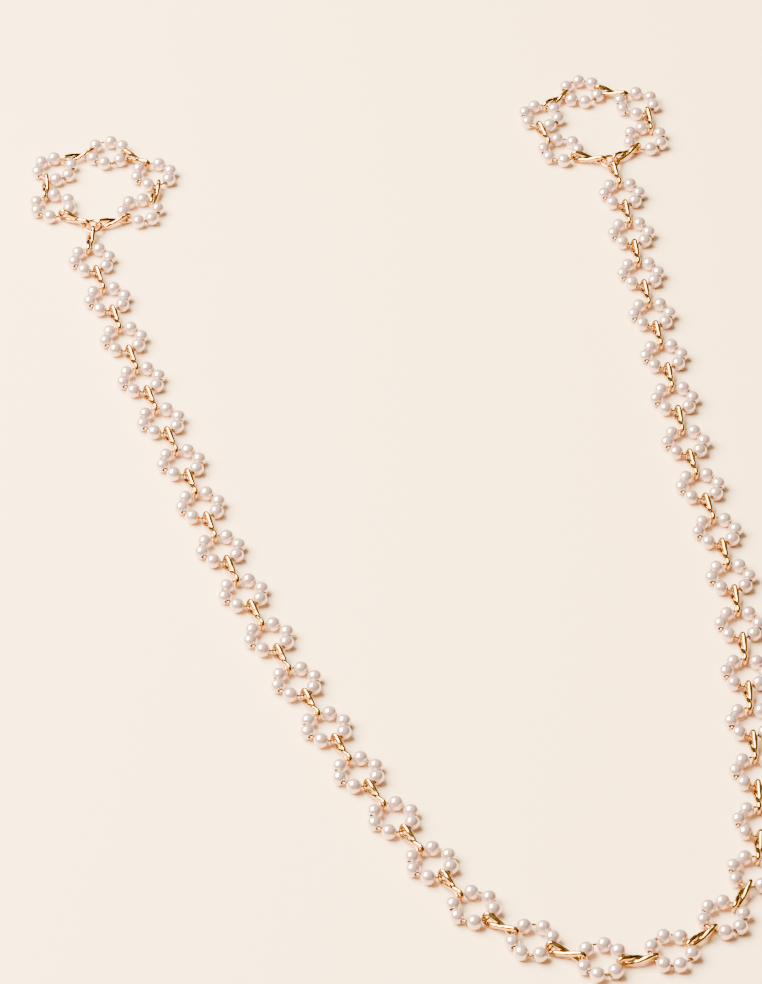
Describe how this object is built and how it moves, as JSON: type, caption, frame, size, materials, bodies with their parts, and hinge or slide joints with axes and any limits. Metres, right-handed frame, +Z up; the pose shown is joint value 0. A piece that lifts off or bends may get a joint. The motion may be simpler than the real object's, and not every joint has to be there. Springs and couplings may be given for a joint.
{
  "type": "eyeglasses chain strap",
  "caption": "Eyeglasses strap of threaded pearl rings joined by figure-eight gold links, with a jump ring and a closed temple loop at each end.",
  "frame": {"origin": "centre of the strap's bounding box, on the table it lies on", "axes": "+Z up from the table, +Y along the arms towards the temple loops, +X across the bight"},
  "size_m": [0.1552, 0.2754, 0.003],
  "materials": {
    "pearl": "pearlescent lacquer, gloss",
    "gold": "polished gold plate"
  },
  "bodies": {
    "ring_01": {"pearl_ring_01": "pearl", "link_pair_01": "gold"},
    "ring_02": {"pearl_ring_02": "pearl"},
    "ring_03": {"pearl_ring_03": "pearl", "link_pair_02": "gold"},
    "ring_04": {"pearl_ring_04": "pearl"},
    "ring_05": {"pearl_ring_05": "pearl", "link_pair_03": "gold"},
    "ring_06": {"pearl_ring_06": "pearl"},
    "ring_07": {"pearl_ring_07": "pearl", "link_pair_04": "gold"},
    "ring_08": {"pearl_ring_08": "pearl"},
    "ring_09": {"pearl_ring_09": "pearl", "link_pair_05": "gold"},
    "ring_10": {"pearl_ring_10": "pearl"},
    "ring_11": {"pearl_ring_11": "pearl", "link_pair_06": "gold"},
    "ring_12": {"pearl_ring_12": "pearl"},
    "ring_13": {"pearl_ring_13": "pearl", "link_pair_07": "gold"},
    "ring_14": {"pearl_ring_14": "pearl"},
    "ring_15": {"pearl_ring_15": "pearl", "link_pair_08": "gold"},
    "ring_16": {"pearl_ring_16": "pearl"},
    "ring_17": {"pearl_ring_17": "pearl", "link_pair_09": "gold"},
    "ring_18": {"pearl_ring_18": "pearl"},
    "ring_19": {"pearl_ring_19": "pearl", "link_pair_10": "gold"},
    "ring_20": {"pearl_ring_20": "pearl"},
    "ring_21": {"pearl_ring_21": "pearl", "link_pair_11": "gold"},
    "ring_22": {"pearl_ring_22": "pearl"},
    "ring_23": {"pearl_ring_23": "pearl", "link_pair_12": "gold"},
    "ring_24": {"pearl_ring_24": "pearl"},
    "ring_25": {"pearl_ring_25": "pearl", "link_pair_13": "gold"},
    "ring_26": {"pearl_ring_26": "pearl"},
    "ring_27": {"pearl_ring_27": "pearl", "link_pair_14": "gold"},
    "ring_28": {"pearl_ring_28": "pearl"},
    "ring_29": {"pearl_ring_29": "pearl", "link_pair_15": "gold"},
    "ring_30": {"pearl_ring_30": "pearl"},
    "ring_31": {"pearl_ring_31": "pearl", "link_pair_16": "gold"},
    "ring_32": {"pearl_ring_32": "pearl"},
    "ring_33": {"pearl_ring_33": "pearl", "link_pair_17": "gold"},
    "ring_34": {"pearl_ring_34": "pearl"},
    "ring_35": {"pearl_ring_35": "pearl", "link_pair_18": "gold"},
    "ring_36": {"pearl_ring_36": "pearl"},
    "temple_loop_left": {"jump_ring_left": "gold", "loop_pearls_left": "pearl", "loop_links_left": "gold"},
    "temple_loop_right": {"jump_ring_right": "gold", "loop_pearls_right": "pearl", "loop_links_right": "gold"}
  },
  "joints": [
    {"name": "lift_00", "type": "hinge", "parent": "ring_01", "child": "temple_loop_left", "pos_m": [-0.06324, 0.08189, 0.0015], "axis": [0.9962, -0.0868, 0], "range_deg": [-55, 55]},
    {"name": "lift_01", "type": "hinge", "parent": "ring_02", "child": "ring_01", "pos_m": [-0.05994, 0.0627, 0.0015], "axis": [-0.9576, -0.2883, 0], "range_deg": [-75, 75]},
    {"name": "swing_02", "type": "hinge", "parent": "ring_03", "child": "ring_02", "pos_m": [-0.05766, 0.0551, 0.0015], "axis": [0, 0, 1], "range_deg": [-10, 10]},
    {"name": "lift_03", "type": "hinge", "parent": "ring_04", "child": "ring_03", "pos_m": [-0.05182, 0.03612, 0.0015], "axis": [0.9481, 0.3179, 0], "range_deg": [-75, 75]},
    {"name": "swing_04", "type": "hinge", "parent": "ring_05", "child": "ring_04", "pos_m": [-0.04929, 0.02859, 0.0015], "axis": [0, 0, -1], "range_deg": [-10, 10]},
    {"name": "lift_05", "type": "hinge", "parent": "ring_06", "child": "ring_05", "pos_m": [-0.04261, 0.00989, 0.0015], "axis": [-0.9458, -0.3246, 0], "range_deg": [-75, 75]},
    {"name": "swing_06", "type": "hinge", "parent": "ring_07", "child": "ring_06", "pos_m": [-0.04004, 0.00238, 0.0015], "axis": [0, 0, 1], "range_deg": [-10, 10]},
    {"name": "lift_07", "type": "hinge", "parent": "ring_08", "child": "ring_07", "pos_m": [-0.03388, -0.0165, 0.0015], "axis": [0.9434, 0.3317, 0], "range_deg": [-75, 75]},
    {"name": "swing_08", "type": "hinge", "parent": "ring_09", "child": "ring_08", "pos_m": [-0.03124, -0.02399, 0.0015], "axis": [0, 0, -1], "range_deg": [-10, 10]},
    {"name": "lift_09", "type": "hinge", "parent": "ring_10", "child": "ring_09", "pos_m": [-0.02386, -0.04243, 0.0015], "axis": [-0.9179, -0.3967, 0], "range_deg": [-75, 75]},
    {"name": "swing_10", "type": "hinge", "parent": "ring_11", "child": "ring_10", "pos_m": [-0.02071, -0.04972, 0.0015], "axis": [0, 0, 1], "range_deg": [-10, 10]},
    {"name": "lift_11", "type": "hinge", "parent": "ring_12", "child": "ring_11", "pos_m": [-0.01249, -0.0678, 0.0015], "axis": [0.8988, 0.4384, 0], "range_deg": [-75, 75]},
    {"name": "swing_12", "type": "hinge", "parent": "ring_13", "child": "ring_12", "pos_m": [-0.00901, -0.07493, 0.0015], "axis": [0, 0, -1], "range_deg": [-10, 10]},
    {"name": "lift_13", "type": "hinge", "parent": "ring_14", "child": "ring_13", "pos_m": [0.00031, -0.09246, 0.0015], "axis": [-0.8647, -0.5024, 0], "range_deg": [-75, 75]},
    {"name": "swing_14", "type": "hinge", "parent": "ring_15", "child": "ring_14", "pos_m": [0.0043, -0.09933, 0.0015], "axis": [0, 0, 1], "range_deg": [-10, 10]},
    {"name": "lift_15", "type": "hinge", "parent": "ring_16", "child": "ring_15", "pos_m": [0.01469, -0.11623, 0.0015], "axis": [0.7513, 0.66, 0], "range_deg": [-75, 75]},
    {"name": "swing_16", "type": "hinge", "parent": "ring_17", "child": "ring_16", "pos_m": [0.01993, -0.1222, 0.0015], "axis": [0, 0, -1], "range_deg": [-10, 10]},
    {"name": "lift_17", "type": "hinge", "parent": "ring_18", "child": "ring_17", "pos_m": [0.03696, -0.13193, 0.0015], "axis": [-0.135, -0.9908, 0], "range_deg": [-75, 75]},
    {"name": "swing_18", "type": "hinge", "parent": "ring_18", "child": "ring_19", "pos_m": [0.04483, -0.133, 0.0015], "axis": [0, 0, 1], "range_deg": [-10, 10]},
    {"name": "lift_19", "type": "hinge", "parent": "ring_19", "child": "ring_20", "pos_m": [0.06166, -0.1249, 0.0015], "axis": [-0.7906, 0.6123, 0], "range_deg": [-75, 75]},
    {"name": "swing_20", "type": "hinge", "parent": "ring_20", "child": "ring_21", "pos_m": [0.06652, -0.11862, 0.0015], "axis": [0, 0, -1], "range_deg": [-10, 10]},
    {"name": "lift_21", "type": "hinge", "parent": "ring_21", "child": "ring_22", "pos_m": [0.07184, -0.101, 0.0015], "axis": [0.999, -0.0455, 0], "range_deg": [-75, 75]},
    {"name": "swing_22", "type": "hinge", "parent": "ring_22", "child": "ring_23", "pos_m": [0.0722, -0.09307, 0.0015], "axis": [0, 0, 1], "range_deg": [-10, 10]},
    {"name": "lift_23", "type": "hinge", "parent": "ring_23", "child": "ring_24", "pos_m": [0.07212, -0.074, 0.0015], "axis": [-0.9999, -0.012, 0], "range_deg": [-75, 75]},
    {"name": "swing_24", "type": "hinge", "parent": "ring_24", "child": "ring_25", "pos_m": [0.07202, -0.06606, 0.0015], "axis": [0, 0, -1], "range_deg": [-10, 10]},
    {"name": "lift_25", "type": "hinge", "parent": "ring_25", "child": "ring_26", "pos_m": [0.07163, -0.0464, 0.0015], "axis": [0.9987, 0.0506, 0], "range_deg": [-75, 75]},
    {"name": "swing_26", "type": "hinge", "parent": "ring_26", "child": "ring_27", "pos_m": [0.07123, -0.03847, 0.0015], "axis": [0, 0, 1], "range_deg": [-10, 10]},
    {"name": "lift_27", "type": "hinge", "parent": "ring_27", "child": "ring_28", "pos_m": [0.06908, -0.01875, 0.0015], "axis": [-0.9832, -0.1823, 0], "range_deg": [-75, 75]},
    {"name": "swing_28", "type": "hinge", "parent": "ring_28", "child": "ring_29", "pos_m": [0.06763, -0.01094, 0.0015], "axis": [0, 0, -1], "range_deg": [-10, 10]},
    {"name": "lift_29", "type": "hinge", "parent": "ring_29", "child": "ring_30", "pos_m": [0.06379, 0.00854, 0.0015], "axis": [0.9905, 0.1377, 0], "range_deg": [-75, 75]},
    {"name": "swing_30", "type": "hinge", "parent": "ring_30", "child": "ring_31", "pos_m": [0.0627, 0.01641, 0.0015], "axis": [0, 0, 1], "range_deg": [-10, 10]},
    {"name": "lift_31", "type": "hinge", "parent": "ring_31", "child": "ring_32", "pos_m": [0.06046, 0.03614, 0.0015], "axis": [-0.9909, -0.1343, 0], "range_deg": [-75, 75]},
    {"name": "swing_32", "type": "hinge", "parent": "ring_32", "child": "ring_33", "pos_m": [0.05939, 0.04401, 0.0015], "axis": [0, 0, -1], "range_deg": [-10, 10]},
    {"name": "lift_33", "type": "hinge", "parent": "ring_33", "child": "ring_34", "pos_m": [0.05661, 0.06367, 0.0015], "axis": [0.9932, 0.1164, 0], "range_deg": [-75, 75]},
    {"name": "swing_34", "type": "hinge", "parent": "ring_34", "child": "ring_35", "pos_m": [0.05568, 0.07156, 0.0015], "axis": [0, 0, 1], "range_deg": [-10, 10]},
    {"name": "lift_35", "type": "hinge", "parent": "ring_35", "child": "ring_36", "pos_m": [0.05356, 0.0913, 0.0015], "axis": [-0.9921, -0.1253, 0], "range_deg": [-75, 75]},
    {"name": "lift_36", "type": "hinge", "parent": "ring_36", "child": "temple_loop_right", "pos_m": [0.05257, 0.09918, 0.0015], "axis": [0.9921, 0.1253, 0], "range_deg": [-55, 55]}
  ]
}
